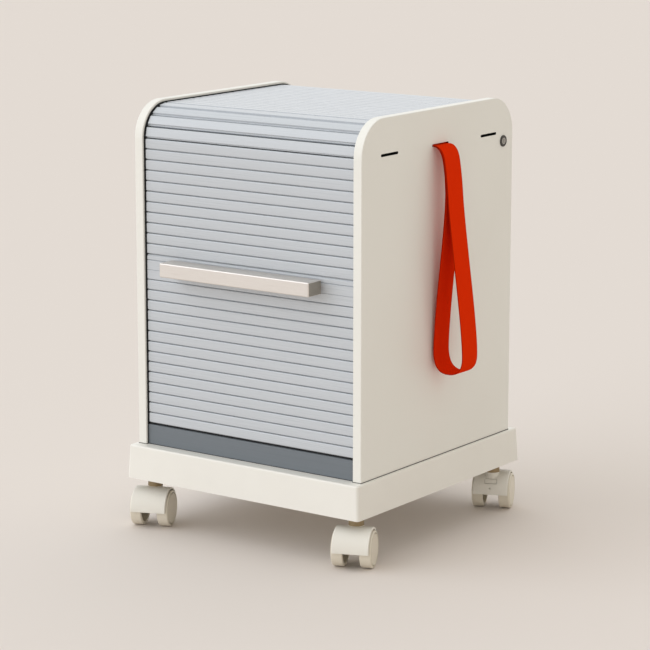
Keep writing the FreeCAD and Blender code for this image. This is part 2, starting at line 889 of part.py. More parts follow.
def castor_hood(braked):
    reach = wheel_space / 2 + wheel_width - hood_inset
    outer = hood_radius()
    drum = rod(outer, axle_point(-reach), axle_point(reach))
    rims = [e for e in drum.Edges if e.BoundBox.XLength < tiny and e.BoundBox.ZLength > outer]
    drum = drum.makeFillet(hood_round, rims)
    neck_top = castor_height - stem_collar_thickness - neck_gap
    neck_edge = castor_trail + neck_radius_bottom
    neck_foot = wheel_radius + math.sqrt(outer ** 2 - neck_edge ** 2) - hood_wall
    neck = Part.makeCone(neck_radius_bottom, neck_radius_top, neck_top - neck_foot, Vec(0, 0, neck_foot))
    web = hood_web / 2
    cuts = [rod(outer - hood_wall, axle_point(s * web), axle_point(s * (reach + over))) for s in (-1, 1)]
    far = 3 * outer
    cuts.append(block(-far, far, -far, far, -far, hood_skirt_height))
    foot = castor_height - stem_depth - boss_floor
    stem_boss = rod(stem_radius + boss_wall, Vec(0, 0, foot), Vec(0, 0, neck_top))
    axle_boss = rod(axle_boss_radius, axle_point(-web), axle_point(web))
    hood = drum.fuse(neck).cut(cuts).fuse([stem_boss, axle_boss])
    holes = [rod(stem_radius + stem_clearance, Vec(0, 0, foot + boss_floor), Vec(0, 0, neck_top + over))]
    holes.append(rod(axle_radius, axle_point(-reach), axle_point(reach)))
    if braked:
        half = brake_width / 2 + brake_gap
        inside = outer - brake_thickness - brake_travel_depth
        low, high = brake_angle_low - brake_end_gap, brake_angle_high + brake_end_gap
        holes.append(drum_sector(half, inside, outer + over, low, high))
        y, z = brake_pin_place()
        pin_reach = half + brake_pin_length
        holes.append(rod(brake_pin_radius + hole_clearance, Vec(-pin_reach, y, z), Vec(pin_reach, y, z)))
        bottom = drum_point(0, outer - brake_hole_depth, brake_hole_angle)
        mouth = drum_point(0, outer + over, brake_hole_angle)
        holes.append(rod(brake_hole_radius, bottom, mouth))
    return hood.cut(holes).removeSplitter()


def brake_tab():
    outer = hood_radius()
    plate = drum_sector(
        brake_width / 2,
        outer + brake_proud - brake_thickness,
        outer + brake_proud,
        brake_angle_low,
        brake_angle_high,
    )
    y, z = brake_pin_place()
    reach = brake_width / 2 + brake_gap + brake_pin_length - fit_gap
    pin = rod(brake_pin_radius, Vec(-reach, y, z), Vec(reach, y, z))
    return plate.fuse(pin).removeSplitter()


def castor_nodes():
    names = ("front_left", "front_right", "rear_left", "rear_right")
    nodes = {}
    for name, (x, y) in zip(names, stem_places()):
        braked = y > 0
        turn = rear_castor_turn if braked else front_castor_turn
        pieces = {
            "castor_hood": castor_hood(braked),
            "castor_axle": castor_axle(),
            "left_wheel": castor_wheel(-1),
            "right_wheel": castor_wheel(1),
        }
        if braked:
            pieces["brake_tab"] = brake_tab()
        for piece, shape in pieces.items():
            nodes[f"{name}_{piece}"] = castor_place(shape, x, y, turn)
    return nodes


def build():
    nodes = {
        "left_side_panel": side_panel(-1),
        "right_side_panel": side_panel(1),
        "base_tray": base_tray(),
        "castor_blocks": castor_blocks(),
        "castor_stems": castor_stems(),
        "bottom_board": bottom_board(),
        "inner_top_board": inner_top_board(),
        "shelf": shelf(),
        "shelf_pins": [shelf_pin(s, y, 0.0) for s, y in shelf_pin_places()],
        "inner_back_panel": inner_back_panel(),
        "rear_cover": rear_cover(),
        "kick_strip": kick_strip(),
        "panel_screws": [panel_screw(x, y, 0.0) for x, y in panel_screw_places()],
        "board_dowels": [dowel(s, y, z, 0.0) for s, y, z in dowel_places()],
        "back_screws": [back_screw(x, z, 0.0) for x, z in back_screw_places()],
        "cover_screws": [cover_screw(x, z, 0.0) for x, z in cover_screw_places()],
        "front_bend_slats": bend_slats(front_hinge_y + hinge_radius, 0.0),
        "rear_bend_slats": bend_slats(rear_hinge_y - hinge_radius, 90.0),
        "lower_slats": front_slats(lower_slat_count, curtain_bottom),
        "bottom_seal": bottom_seal(),
        "middle_slats": front_slats(middle_slat_count, lower_top),
        "handle_slat": handle_slat(),
        "upper_slats": front_slats(upper_slat_count, handle_slat_z + handle_slat_height),
        "top_slats": top_slats(),
        "handle_bar": handle_bar(),
        "handle_spacers": handle_spacers(),
        "handle_screws": [handle_screw(x, z, 0.0) for x, z in spacer_places()],
        "lock_barrel": lock_barrel(),
        "lock_cylinder": lock_cylinder(),
        "lock_cam": lock_cam(),
        "lock_cam_screw": lock_cam_screw(),
        "strap_anchor": strap_anchor(),
        "strap_anchor_screws": [anchor_screw(y, 0.0) for y in anchor_screw_places()],
        "strap_tail": strap_tail(),
        "pull_strap": pull_strap(),
    }
    nodes.update(castor_nodes())
    return nodes


def main():
    os.makedirs("parts", exist_ok=True)
    for name, shape in build().items():
        whole = Part.makeCompound(shape) if isinstance(shape, list) else shape
        whole.exportStep(f"parts/{name}.step")
    print(f"cabinet {cabinet_width:.1f} wide, {cabinet_depth:.1f} deep, {panel_top:.1f} high")
    print(f"strap loop {strap_length():.1f} long, curtain turns about z {pole_z:.2f}")


main()
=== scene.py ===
import bpy
import bmesh
import json
import math
from mathutils import Matrix, Vector


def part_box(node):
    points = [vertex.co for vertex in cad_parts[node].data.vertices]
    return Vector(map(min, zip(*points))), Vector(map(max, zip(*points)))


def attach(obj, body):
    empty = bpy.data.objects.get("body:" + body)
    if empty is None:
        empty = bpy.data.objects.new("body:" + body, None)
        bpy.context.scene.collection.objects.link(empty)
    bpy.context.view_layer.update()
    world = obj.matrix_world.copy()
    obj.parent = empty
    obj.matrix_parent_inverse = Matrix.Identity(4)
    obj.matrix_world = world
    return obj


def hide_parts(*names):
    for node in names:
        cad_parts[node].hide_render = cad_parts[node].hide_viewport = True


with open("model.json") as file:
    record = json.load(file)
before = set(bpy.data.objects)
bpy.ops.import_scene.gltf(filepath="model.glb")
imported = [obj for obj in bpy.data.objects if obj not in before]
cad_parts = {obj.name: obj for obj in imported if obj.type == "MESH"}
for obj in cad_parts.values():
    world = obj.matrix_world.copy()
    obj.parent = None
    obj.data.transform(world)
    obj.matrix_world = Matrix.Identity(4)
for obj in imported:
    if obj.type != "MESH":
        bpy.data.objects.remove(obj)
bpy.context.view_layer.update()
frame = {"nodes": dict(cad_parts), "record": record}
mm = 0.001
print("frame loaded:", len(frame["nodes"]), "nodes")


def hexLinear(code):
    # "#rrggbb" in sRGB to linear RGBA
    values = [int(code[i:i + 2], 16) / 255 for i in (1, 3, 5)]
    return tuple(v / 12.92 if v <= 0.04045 else ((v + 0.055) / 1.055) ** 2.4 for v in values) + (1.0,)


def addNode(tree, kind, settings=None, links=None):
    # settings name an input socket or else a property; links name an input socket and what feeds it
    node = tree.nodes.new(kind)
    for key, value in (settings or {}).items():
        if isinstance(key, int) or key in node.inputs:
            node.inputs[key].default_value = value
        else:
            setattr(node, key, value)
    for key, socket in (links or {}).items():
        tree.links.new(socket, node.inputs[key])
    return node


def newMaterial(name, settings):
    material = bpy.data.materials.new(name)
    material.use_nodes = True
    tree = material.node_tree
    tree.nodes.clear()
    shader = addNode(tree, "ShaderNodeBsdfPrincipled", settings)
    addNode(tree, "ShaderNodeOutputMaterial", links={"Surface": shader.outputs[0]})
    place = addNode(tree, "ShaderNodeTexCoord").outputs["Object"]
    return material, tree, shader, place


def perMetre(sizeMm):
    # texture scale whose features are about this many millimetres across
    return 1.0 / (sizeMm * mm)


def twoTones(look):
    # settings of a colour mix from a finish's dark tone to its light one
    return {"data_type": "RGBA", 6: hexLinear(look["dark"]), 7: hexLinear(look["light"])}


def changedBeyond(tree, vector, axis, start, colour, code):
    # another colour where one coordinate is further than start from zero
    parts = addNode(tree, "ShaderNodeSeparateXYZ", links={0: vector})
    away = addNode(tree, "ShaderNodeMath", {"operation": "ABSOLUTE"}, {0: parts.outputs[axis]})
    isBeyond = addNode(tree, "ShaderNodeMath", {"operation": "GREATER_THAN", 1: start}, {0: away.outputs[0]})
    changed = addNode(tree, "ShaderNodeMix", {"data_type": "RGBA", 7: hexLinear(code)}, {
        "Factor": isBeyond.outputs[0], 6: colour})
    return changed.outputs[2]


plasticIor = 1.5
grainDepth = 0.1  # full height of a smooth finish's grain, in millimetres

# melamine-faced board: pressed laminate with a faint pearl grain and a satin sheen
laminate = {"light": "#eeede6", "dark": "#e8e6de", "pearlMm": 1.6, "cloudMm": 180, "bump": 0.05, "rough": 0.46}


def makeLaminate():
    look = laminate
    material, tree, shader, place = newMaterial("melamineLaminate", {"Roughness": look["rough"], "IOR": plasticIor})
    cloudScale, pearlScale = perMetre(look["cloudMm"]), perMetre(look["pearlMm"])
    cloud = addNode(tree, "ShaderNodeTexNoise", {"Scale": cloudScale, "Detail": 3.0}, {"Vector": place})
    tint = addNode(tree, "ShaderNodeMix", twoTones(look), {"Factor": cloud.outputs[0]})
    tree.links.new(tint.outputs[2], shader.inputs["Base Color"])
    pearl = addNode(tree, "ShaderNodeTexNoise", {"Scale": pearlScale, "Detail": 2.0}, {"Vector": place})
    bump = addNode(tree, "ShaderNodeBump", {"Strength": look["bump"], "Distance": grainDepth * mm}, {
        "Height": pearl.outputs[0]})
    tree.links.new(bump.outputs[0], shader.inputs["Normal"])
    return material


# injection-moulded plastics and rubber: an even colour and a fine spark-eroded grain under a soft sheen
mouldings = {
    "trayAbs": {"light": "#eeece4", "dark": "#e9e6de", "grainMm": 0.9, "bump": 0.06, "rough": 0.36},
    # the castor's neck carries painted shade from just above the drum, in millimetres up: a brown tint that stands
    # for the shadow under the tray
    "castorNylon": {"light": "#ebe8df", "dark": "#e3dfd4", "grainMm": 0.9, "bump": 0.1, "rough": 0.45,
                    "neckFrom": 54.7, "neck": "#9c8763"},
    # the wheels are a darker, warmer copy of the hood's nylon: painted shade for the shadow on their discs under the
    # tray
    "shadedWheelNylon": {"light": "#e6dfcf", "dark": "#dad2c0", "grainMm": 0.8, "bump": 0.1, "rough": 0.42},
    "blockAbs": {"light": "#cfcabf", "dark": "#c4beb2", "grainMm": 0.9, "bump": 0.1, "rough": 0.55},
    "sealRubber": {"light": "#1d1d1e", "dark": "#141415", "grainMm": 0.6, "bump": 0.2, "rough": 0.75},
}
mouldCloudMm = 60


def makeMoulding(name):
    look = mouldings[name]
    material, tree, shader, place = newMaterial(name, {"Roughness": look["rough"], "IOR": plasticIor})
    cloudScale, grainScale = perMetre(mouldCloudMm), perMetre(look["grainMm"])
    cloud = addNode(tree, "ShaderNodeTexNoise", {"Scale": cloudScale, "Detail": 4.0}, {"Vector": place})
    colour = addNode(tree, "ShaderNodeMix", twoTones(look), {"Factor": cloud.outputs[0]}).outputs[2]
    # the neck's brown band is painted shade from the tray above
    if "neck" in look:
        colour = changedBeyond(tree, place, 2, look["neckFrom"] * mm, colour, look["neck"])
    tree.links.new(colour, shader.inputs["Base Color"])
    grain = addNode(tree, "ShaderNodeTexVoronoi", {"Scale": grainScale}, {"Vector": place})
    bump = addNode(tree, "ShaderNodeBump", {"Strength": look["bump"], "Distance": grainDepth * mm}, {
        "Height": grain.outputs[0]})
    tree.links.new(bump.outputs[0], shader.inputs["Normal"])
    return material


# drawn or extruded stock: streaks run along X, the way it left the die
drawn = {
    "slatPvc": {"light": "#c9cdd1", "dark": "#c0c5ca", "metal": 0.0, "rough": (0.24, 0.32),
                "streakMm": (90, 0.9), "bump": 0.03},
    "kickPvc": {"light": "#72797f", "dark": "#697076", "metal": 0.0, "rough": (0.40, 0.50),
                "streakMm": (120, 1.2), "bump": 0.05},
    # the bar's cut ends, from this far out along X, are darker than its drawn faces: painted shade on the end faces
    "handleAnodised": {"light": "#e8e3de", "dark": "#d9d3cc", "metal": 0.85, "rough": (0.34, 0.44),
                       "streakMm": (40, 0.5), "bump": 0.06, "shadedEndsFrom": 124.9, "endShade": "#a69f94"},
    "zincSteel": {"light": "#c7c7c4", "dark": "#aeaeab", "metal": 1.0, "rough": (0.28, 0.42),
                  "streakMm": (6, 1.0), "bump": 0.05},
    "lockSteel": {"light": "#5a5956", "dark": "#454441", "metal": 1.0, "rough": (0.2, 0.3),
                  "streakMm": (4, 1.0), "bump": 0.02},
    "lockChrome": {"light": "#b4b2ac", "dark": "#9f9d98", "metal": 1.0, "rough": (0.14, 0.22),
                   "streakMm": (4, 1.0), "bump": 0.02},
    "beechDowel": {"light": "#d2ad7c", "dark": "#b98f5d", "metal": 0.0, "rough": (0.55, 0.7),
                   "streakMm": (14, 0.8), "bump": 0.2},
}


def makeDrawn(name):
    look = drawn[name]
    # 1.5 is also the shader's default, which the metals keep
    material, tree, shader, place = newMaterial(name, {"Metallic": look["metal"], "IOR": plasticIor})
    along, across = (perMetre(size) for size in look["streakMm"])
    stretch = addNode(tree, "ShaderNodeMapping", {"Scale": (along, across, across)}, {"Vector": place})
    streak = addNode(tree, "ShaderNodeTexNoise", {"Scale": 1.0, "Detail": 4.0}, {"Vector": stretch.outputs[0]})
    colour = addNode(tree, "ShaderNodeMix", twoTones(look), {"Factor": streak.outputs[0]}).outputs[2]
    # the bar's darker ends are painted shade
    if "endShade" in look:
        colour = changedBeyond(tree, place, 0, look["shadedEndsFrom"] * mm, colour, look["endShade"])
    tree.links.new(colour, shader.inputs["Base Color"])
    low, high = look["rough"]
    gloss = addNode(tree, "ShaderNodeMapRange", {"To Min": low, "To Max": high}, {"Value": streak.outputs[0]})
    tree.links.new(gloss.outputs[0], shader.inputs["Roughness"])
    bump = addNode(tree, "ShaderNodeBump", {"Strength": look["bump"], "Distance": grainDepth * mm}, {
        "Height": streak.outputs[0]})
    tree.links.new(bump.outputs[0], shader.inputs["Normal"])
    return material


# woven polyester webbing: matt, ribs along its length crossed by picks, threads drawn coarser than life so they show
webbing = {
    "light": "#ff3e0e", "dark": "#bd1e04", "ribMm": 4.0, "pickMm": 2.6, "fuzzMm": 2.5, "fuzzShare": 0.45,
    "bump": 0.8, "threadDepth": 0.25, "rough": 0.72,
    # the edges are darker, from this far off the middle
    "darkEdge": "#b02004", "darkEdgeFrom": 17.7,
    "width": 38.0, "thickness": 1.5, "flatLength": 0.674, "acrossSteps": 18, "softAngle": 60,
    # where the edges start to thin, as a share of the half width, and the thickness left at the very edge
    "edgeFrom": 0.955, "edgeThin": 0.25,
    # the plies are squeezed where they enter the slot: share of the thickness, and how far out it is full again
    "pinch": 0.55, "pinchReach": 12.0,
    # out from the panel and up from the slot, in millimetres
    "route": [
        (0.4, -0.35), (15.5, 0.85), (23.0, -45.0), (26.5, -92.0), (50.5, -262.0), (49.5, -309.0),
        (3.5, -309.0), (4.5, -245.0), (20.6, -92.0), (20.9, -45.0), (13.4, -0.95), (0.4, -1.2),
    ],
    "routeOrder": 3, "routeSteps": 20,
}


def makeWebbing():
    look = webbing
    material, tree, shader, place = newMaterial("wovenWebbing", {
        "Roughness": look["rough"], "IOR": plasticIor, "Specular IOR Level": 0.0})
    thread = addNode(tree, "ShaderNodeUVMap", {"uv_map": "threads"}).outputs[0]
    parts = addNode(tree, "ShaderNodeSeparateXYZ", links={0: thread})
    waves = []
    for axis, size in ((0, look["ribMm"]), (1, look["pickMm"])):
        turn = addNode(tree, "ShaderNodeMath", {"operation": "MULTIPLY", 1: 2 * math.pi / size}, {
            0: parts.outputs[axis]})
        waves.append(addNode(tree, "ShaderNodeMath", {"operation": "SINE"}, {0: turn.outputs[0]}).outputs[0])
    weave = addNode(tree, "ShaderNodeMath", {"operation": "MULTIPLY"}, {0: waves[0], 1: waves[1]})
    height = addNode(tree, "ShaderNodeMapRange", {"From Min": -1.0, "From Max": 1.0}, {"Value": weave.outputs[0]})
    fuzzScale = perMetre(look["fuzzMm"])
    fuzz = addNode(tree, "ShaderNodeTexNoise", {"Scale": fuzzScale, "Detail": 5.0}, {"Vector": place})
    # the colour follows the weave's height: the low places between threads are painted shade, mixed with a random
    # tone
    threadShadeAndTone = addNode(tree, "ShaderNodeMix", {"Factor": look["fuzzShare"]}, {
        2: height.outputs[0], 3: fuzz.outputs[0]})
    face = addNode(tree, "ShaderNodeMix", twoTones(look), {"Factor": threadShadeAndTone.outputs[0]}).outputs[2]
    colour = changedBeyond(tree, thread, 0, look["darkEdgeFrom"], face, look["darkEdge"])
    tree.links.new(colour, shader.inputs["Base Color"])
    bump = addNode(tree, "ShaderNodeBump", {"Strength": look["bump"], "Distance": look["threadDepth"] * mm}, {
        "Height": height.outputs[0]})
    tree.links.new(bump.outputs[0], shader.inputs["Normal"])
    return material


finishes = {"laminate": makeLaminate(), "webbing": makeWebbing()}
finishes.update({name: makeMoulding(name) for name in mouldings})
finishes.update({name: makeDrawn(name) for name in drawn})
print("materials made:", len(finishes))

slotFinish = {
    "panel": "laminate", "board": "laminate", "tray": "trayAbs", "block": "blockAbs", "slat": "slatPvc",
    "kick": "kickPvc", "seal": "sealRubber", "handle": "handleAnodised", "steel": "zincSteel",
    "dowel": "beechDowel", "lock": "lockChrome", "strap": "webbing", "hood": "castorNylon", "wheel": "shadedWheelNylon",
}
nodeFinish = {"lock_barrel": "lockSteel"}
for entry in frame["record"]["subparts"]:
    node = frame["nodes"][entry["node"]]
    node.data.materials.clear()
    node.data.materials.append(finishes[nodeFinish.get(entry["node"], slotFinish[entry["material_slot"]])])


def pieceFrom(name, mesh, body, replaced):
    # a finished mesh as a piece of the object
    piece = bpy.data.objects.new(name, mesh)
    bpy.context.collection.objects.link(piece)
    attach(piece, body)
    if replaced:
        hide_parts(*replaced)
    return piece


def softEdges(mesh, degrees):
    mesh.polygons.foreach_set("use_smooth", [True] * len(mesh.polygons))
    mesh.set_sharp_from_angle(angle=math.radians(degrees))


def meshFrom(bm, name, degrees):
    # a plain mesh with soft edges up to this angle
    mesh = bpy.data.meshes.new(name)
    bm.to_mesh(mesh)
    bm.free()
    softEdges(mesh, degrees)
    return mesh


def bridge(bm, lower, upper):
    count = len(lower)
    for k in range(count):
        n = (k + 1) % count
        bm.faces.new((lower[k], lower[n], upper[n], upper[k]))


def roundedOutline(corners, steps=4, sideShare=0.49):
    # (along, out, radius) corners to points, each corner eased by its radius within its share of the sides
    points = []
    for k, (u, v, radius) in enumerate(corners):
        here = Vector((u, v))
        back = Vector(corners[k - 1][:2]) - here
        ahead = Vector(corners[(k + 1) % len(corners)][:2]) - here
        half = back.angle(ahead) / 2
        reach = min(radius / math.tan(half), sideShare * back.length, sideShare * ahead.length)
        radius = reach * math.tan(half)
        middle = (back.normalized() + ahead.normalized()).normalized()
        centre = here + middle * (radius / math.sin(half))
        start = here + back.normalized() * reach - centre
        end = here + ahead.normalized() * reach - centre
        sweep = start.angle_signed(end)
        for s in range(steps + 1):
            points.append(centre + Matrix.Rotation(-sweep * s / steps, 2) @ start)
    return points


def drawnOut(bm, points, x0, x1):
    # closes an (along, out) outline into a bar from x0 to x1; along is +Z and out is -Y
    rings = [[bm.verts.new((x * mm, -p.y * mm, p.x * mm)) for p in points] for x in (x0, x1)]
    bridge(bm, rings[0], rings[1])
    bm.faces.new(rings[0][::-1])
    bm.faces.new(rings[1])


# extruded slats: bevelled upper edge, undercut lower edge, a tongue at each end that runs in the panels' grooves
slats = {
    "pitch": 14.5, "thickness": 8.5, "gap": 0.3, "bevelHeight": 1.2, "bevelDepth": 1.0, "stepHeight": 1.5,
    "stepDepth": 3.0, "edge": 0.45, "stepEdge": 0.2, "reach": 173.1, "tongueEnd": 181.0, "tongueInset": 0.8,
    "tongueThickness": 4.2, "tongueEdge": 0.3, "softAngle": 40,
    "lowerCount": 9, "middleCount": 5, "upperCount": 11, "topCount": 18, "bendCount": 4, "bendHalf": 11.25,
}


def slatMesh(pitch):
    low, high, face = slats["gap"] / 2, pitch - slats["gap"] / 2, slats["thickness"]
    under, edge, notch = face - slats["stepDepth"], slats["edge"], slats["stepEdge"]
    corners = [
        (low, 0.0, edge), (low, under, notch), (low + slats["stepHeight"], under, notch),
        (low + slats["stepHeight"], face, edge), (high - slats["bevelHeight"], face, 2 * edge),
        (high, face - slats["bevelDepth"], 2 * edge), (high, 0.0, edge),
    ]
    bm = bmesh.new()
    drawnOut(bm, roundedOutline(corners), -slats["reach"], slats["reach"])
    inset, edge = slats["tongueInset"], slats["tongueEdge"]
    far = inset + slats["tongueThickness"]
    tongue = [(inset, inset, edge), (inset, far, edge), (pitch - inset, far, edge), (pitch - inset, inset, edge)]
    for side in (-1, 1):
        x0, x1 = sorted((side * slats["reach"], side * slats["tongueEnd"]))
        drawnOut(bm, roundedOutline(tongue, 2), x0, x1)
    bmesh.ops.recalc_face_normals(bm, faces=bm.faces[:])
    return meshFrom(bm, "slat", slats["softAngle"])


def newTree(name, inputs, output):
    # an empty geometry tree with named inputs, and the sockets that carry them
    tree = bpy.data.node_groups.new(name, "GeometryNodeTree")
    for socket, kind in inputs.items():
        tree.interface.new_socket(socket, in_out="INPUT", socket_type="NodeSocket" + kind)
    tree.interface.new_socket(output, in_out="OUTPUT", socket_type="NodeSocketGeometry")
    return tree, addNode(tree, "NodeGroupInput").outputs


def endTree(tree, shape, material):
    real = addNode(tree, "GeometryNodeRealizeInstances", links={0: shape})
    dressed = addNode(tree, "GeometryNodeSetMaterial", links={"Geometry": real.outputs[0], "Material": material})
    addNode(tree, "NodeGroupOutput", links={0: dressed.outputs[0]})


def slatTree():
    # repeats one slat along a step, or round a pivot when it has an arm and a turn
    tree, given = newTree("slatRun", {
        "Slat": "Geometry", "Count": "Int", "Start": "Vector", "Step": "Vector", "Arm": "Float",
        "First Turn": "Float", "Turn Step": "Float", "Lean": "Float", "Material": "Material"}, "Slats")
    line = addNode(tree, "GeometryNodeMeshLine", {"mode": "OFFSET"}, {
        "Count": given["Count"], "Start Location": given["Start"], "Offset": given["Step"]})
    index = addNode(tree, "GeometryNodeInputIndex").outputs[0]
    turn = addNode(tree, "ShaderNodeMath", {"operation": "MULTIPLY_ADD"}, {
        0: index, 1: given["Turn Step"], 2: given["First Turn"]})
    back = addNode(tree, "ShaderNodeMath", {"operation": "MULTIPLY", 1: -1.0}, {0: turn.outputs[0]})
    inward = addNode(tree, "ShaderNodeMath", {"operation": "MULTIPLY", 1: -1.0}, {0: given["Arm"]})
    arm = addNode(tree, "ShaderNodeCombineXYZ", links={"Y": inward.outputs[0]})
    swung = addNode(tree, "ShaderNodeVectorRotate", {"rotation_type": "X_AXIS"}, {
        "Vector": arm.outputs[0], "Angle": back.outputs[0]})
    placed = addNode(tree, "GeometryNodeSetPosition", links={"Geometry": line.outputs[0], "Offset": swung.outputs[0]})
    lean = addNode(tree, "ShaderNodeMath", {"operation": "SUBTRACT"}, {0: back.outputs[0], 1: given["Lean"]})
    facing = addNode(tree, "ShaderNodeCombineXYZ", links={"X": lean.outputs[0]})
    copies = addNode(tree, "GeometryNodeInstanceOnPoints", links={
        "Points": placed.outputs[0], "Instance": given["Slat"], "Rotation": facing.outputs[0]})
    endTree(tree, copies.outputs[0], given["Material"])
    return tree


def runTree(mesh, tree, inputs):
    # evaluates a node tree on a mesh and hands back the plain mesh it makes
    carrier = bpy.data.objects.new("carrier", mesh)
    bpy.context.collection.objects.link(carrier)
    modifier = carrier.modifiers.new("repeat", "NODES")
    modifier.node_group = tree
    sockets = {item.name: item.identifier for item in tree.interface.items_tree if item.in_out == "INPUT"}
    for name, value in inputs.items():
        modifier[sockets[name]] = value
    made = bpy.data.meshes.new_from_object(carrier.evaluated_get(bpy.context.evaluated_depsgraph_get()))
    carrier.modifiers.remove(modifier)
    bpy.data.objects.remove(carrier)
    return made


def joined(meshes):
    bm = bmesh.new()
    for mesh in meshes:
        bm.from_mesh(mesh)
    result = meshes[0].copy()
    bm.to_mesh(result)
    bm.free()
    return result


repeatSlat = slatTree()


def repeated(mesh, finish, count, start, step=(0.0, 0.0, 0.0), arm=0.0, firstTurn=0.0, turnStep=0.0, lean=0.0):
    return runTree(mesh, repeatSlat, {
        "Count": count, "Start": start, "Step": step, "Arm": arm, "First Turn": firstTurn,
        "Turn Step": turnStep, "Lean": lean, "Material": finishes[finish],
    })


# the slats' hinge line: its front, the foot of its bends and their radius, in millimetres
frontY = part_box("lower_slats")[1].y / mm
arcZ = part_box("upper_slats")[1].z / mm + slats["gap"] / 2
bendRadius = slats["pitch"] / (2 * math.sin(math.radians(slats["bendHalf"])))
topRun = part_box("top_slats")
topPitch = (topRun[1].y - topRun[0].y + slats["gap"] * mm) / mm / slats["topCount"]


def straightRun(name, count):
    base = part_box(name)[0].z / mm - slats["gap"] / 2
    pitch = slats["pitch"]
    return repeated(slatMesh(pitch), "slatPvc", count, (0.0, frontY * mm, base * mm), (0.0, 0.0, pitch * mm))


def bendRun(centreY, firstTurn):
    step = math.radians(2 * slats["bendHalf"])
    return repeated(
        slatMesh(slats["pitch"]), "slatPvc", slats["bendCount"], (0.0, centreY * mm, arcZ * mm),
        arm=bendRadius * mm, firstTurn=math.radians(firstTurn), turnStep=step, lean=step / 2)


topStart = (0.0, topRun[0].y - slats["gap"] / 2 * mm, (arcZ + bendRadius) * mm)
topSlats = repeated(
    slatMesh(topPitch), "slatPvc", slats["topCount"], topStart, (0.0, topPitch * mm, 0.0), firstTurn=math.radians(90))
lowerRun = straightRun("lower_slats", slats["lowerCount"])
pieceFrom("lowerCurtain", lowerRun, "lower_curtain", ["lower_slats"])
frontRuns = joined([
    straightRun("middle_slats", slats["middleCount"]), straightRun("upper_slats", slats["upperCount"])])
pieceFrom("frontCurtain", frontRuns, "upper_curtain", ["middle_slats", "upper_slats"])
pieceFrom("topCurtain", topSlats, "upper_curtain", ["top_slats"])
bendRuns = joined([bendRun(frontY + bendRadius, 0.0), bendRun(-frontY - bendRadius, 90.0)])
pieceFrom("bendCurtain", bendRuns, "cabinet", ["front_bend_slats", "rear_bend_slats"])
print("slats made, top pitch", round(topPitch, 3), "bend radius", round(bendRadius, 3))


def makeStripTree():
    # a flat strip that follows a route with eased corners
    tree, given = newTree("linerStrip", {
        "Route": "Geometry", "Corner": "Float", "Steps": "Int", "Width": "Float", "Thickness": "Float",
        "Facing": "Vector", "Material": "Material"}, "Strip")
    line = addNode(tree, "GeometryNodeMeshToCurve", links={0: given["Route"]})
    eased = addNode(tree, "GeometryNodeFilletCurve", {"mode": "POLY", "Limit Radius": True}, {
        "Curve": line.outputs[0], "Count": given["Steps"], "Radius": given["Corner"]})
    facing = addNode(tree, "GeometryNodeSetCurveNormal", {"mode": "FREE"}, {
        "Curve": eased.outputs[0], "Normal": given["Facing"]})
    section = addNode(tree, "GeometryNodeCurvePrimitiveQuadrilateral", links={
        "Width": given["Thickness"], "Height": given["Width"]})
    strip = addNode(tree, "GeometryNodeCurveToMesh", {"Fill Caps": True}, {
        0: facing.outputs[0], 1: section.outputs[0]})
    endTree(tree, strip.outputs[0], given["Material"])
    return tree


stripTree = makeStripTree()


def stripAlong(points, facing, corner, steps, width, thickness):
    # a rubber strip along these points, sizes in millimetres
    route = bpy.data.meshes.new("stripRoute")
    edges = [(k, k + 1) for k in range(len(points) - 1)]
    route.from_pydata([tuple(c * mm for c in point) for point in points], edges, [])
    return runTree(route, stripTree, {
        "Corner": corner * mm, "Steps": steps, "Width": width * mm, "Thickness": thickness * mm,
        "Facing": facing, "Material": finishes["sealRubber"]})


# black rubber lining on the panels' inner faces, partly painted shade: it darkens the gap at the slats' ends.
# Distances out from the slats' hinge line, in millimetres
liner = {"near": 5.6, "far": 9.9, "thickness": 0.5, "foot": 116.0, "cornerSteps": 16}


def grooveShadeMesh():
    middle, thick = (liner["near"] + liner["far"]) / 2, liner["thickness"]
    reach, crown, foot = -frontY + middle, arcZ + bendRadius + middle, liner["foot"]
    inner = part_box("bottom_board")[1].x / mm
    strips = []
    for side in (-1, 1):
        x = side * (inner - thick / 2)
        corners = [(x, -reach, foot), (x, -reach, crown), (x, reach, crown), (x, reach, foot)]
        strips.append(stripAlong(
            corners, (1.0, 0.0, 0.0), bendRadius + middle, liner["cornerSteps"], liner["far"] - liner["near"], thick))
    return joined(strips)


# the groove lining is partly painted shade in the gap beside the slats
pieceFrom("grooveLiner", grooveShadeMesh(), "cabinet", [])

# thin rubber gasket round the foot of the panels and the kick strip, partly painted shade: its black line stands for
# the shadow along the joint
gasket = {"height": 0.7, "depth": 0.4, "cornerSteps": 2}


def footShadeMesh():
    proud = gasket["depth"] / 2
    panel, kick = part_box("right_side_panel"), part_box("kick_strip")
    outer, inner = panel[1].x / mm + proud, panel[0].x / mm - proud
    front, kickFront, rear = panel[0].y / mm - proud, kick[0].y / mm - proud, panel[1].y / mm
    half = [(outer, rear), (outer, front), (inner, front), (inner, kickFront)]
    plan = half + [(-x, y) for x, y in half[::-1]]
    z = panel[0].z / mm + gasket["height"] / 2
    route = [(x, y, z) for x, y in plan]
    return stripAlong(route, (0.0, 0.0, 1.0), proud, gasket["cornerSteps"], gasket["depth"], gasket["height"])


# the foot gasket is partly painted shade along the joint
pieceFrom("footGasket", footShadeMesh(), "cabinet", [])
print("lining and gasket made")

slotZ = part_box("strap_tail")[0].z + webbing["thickness"] * mm


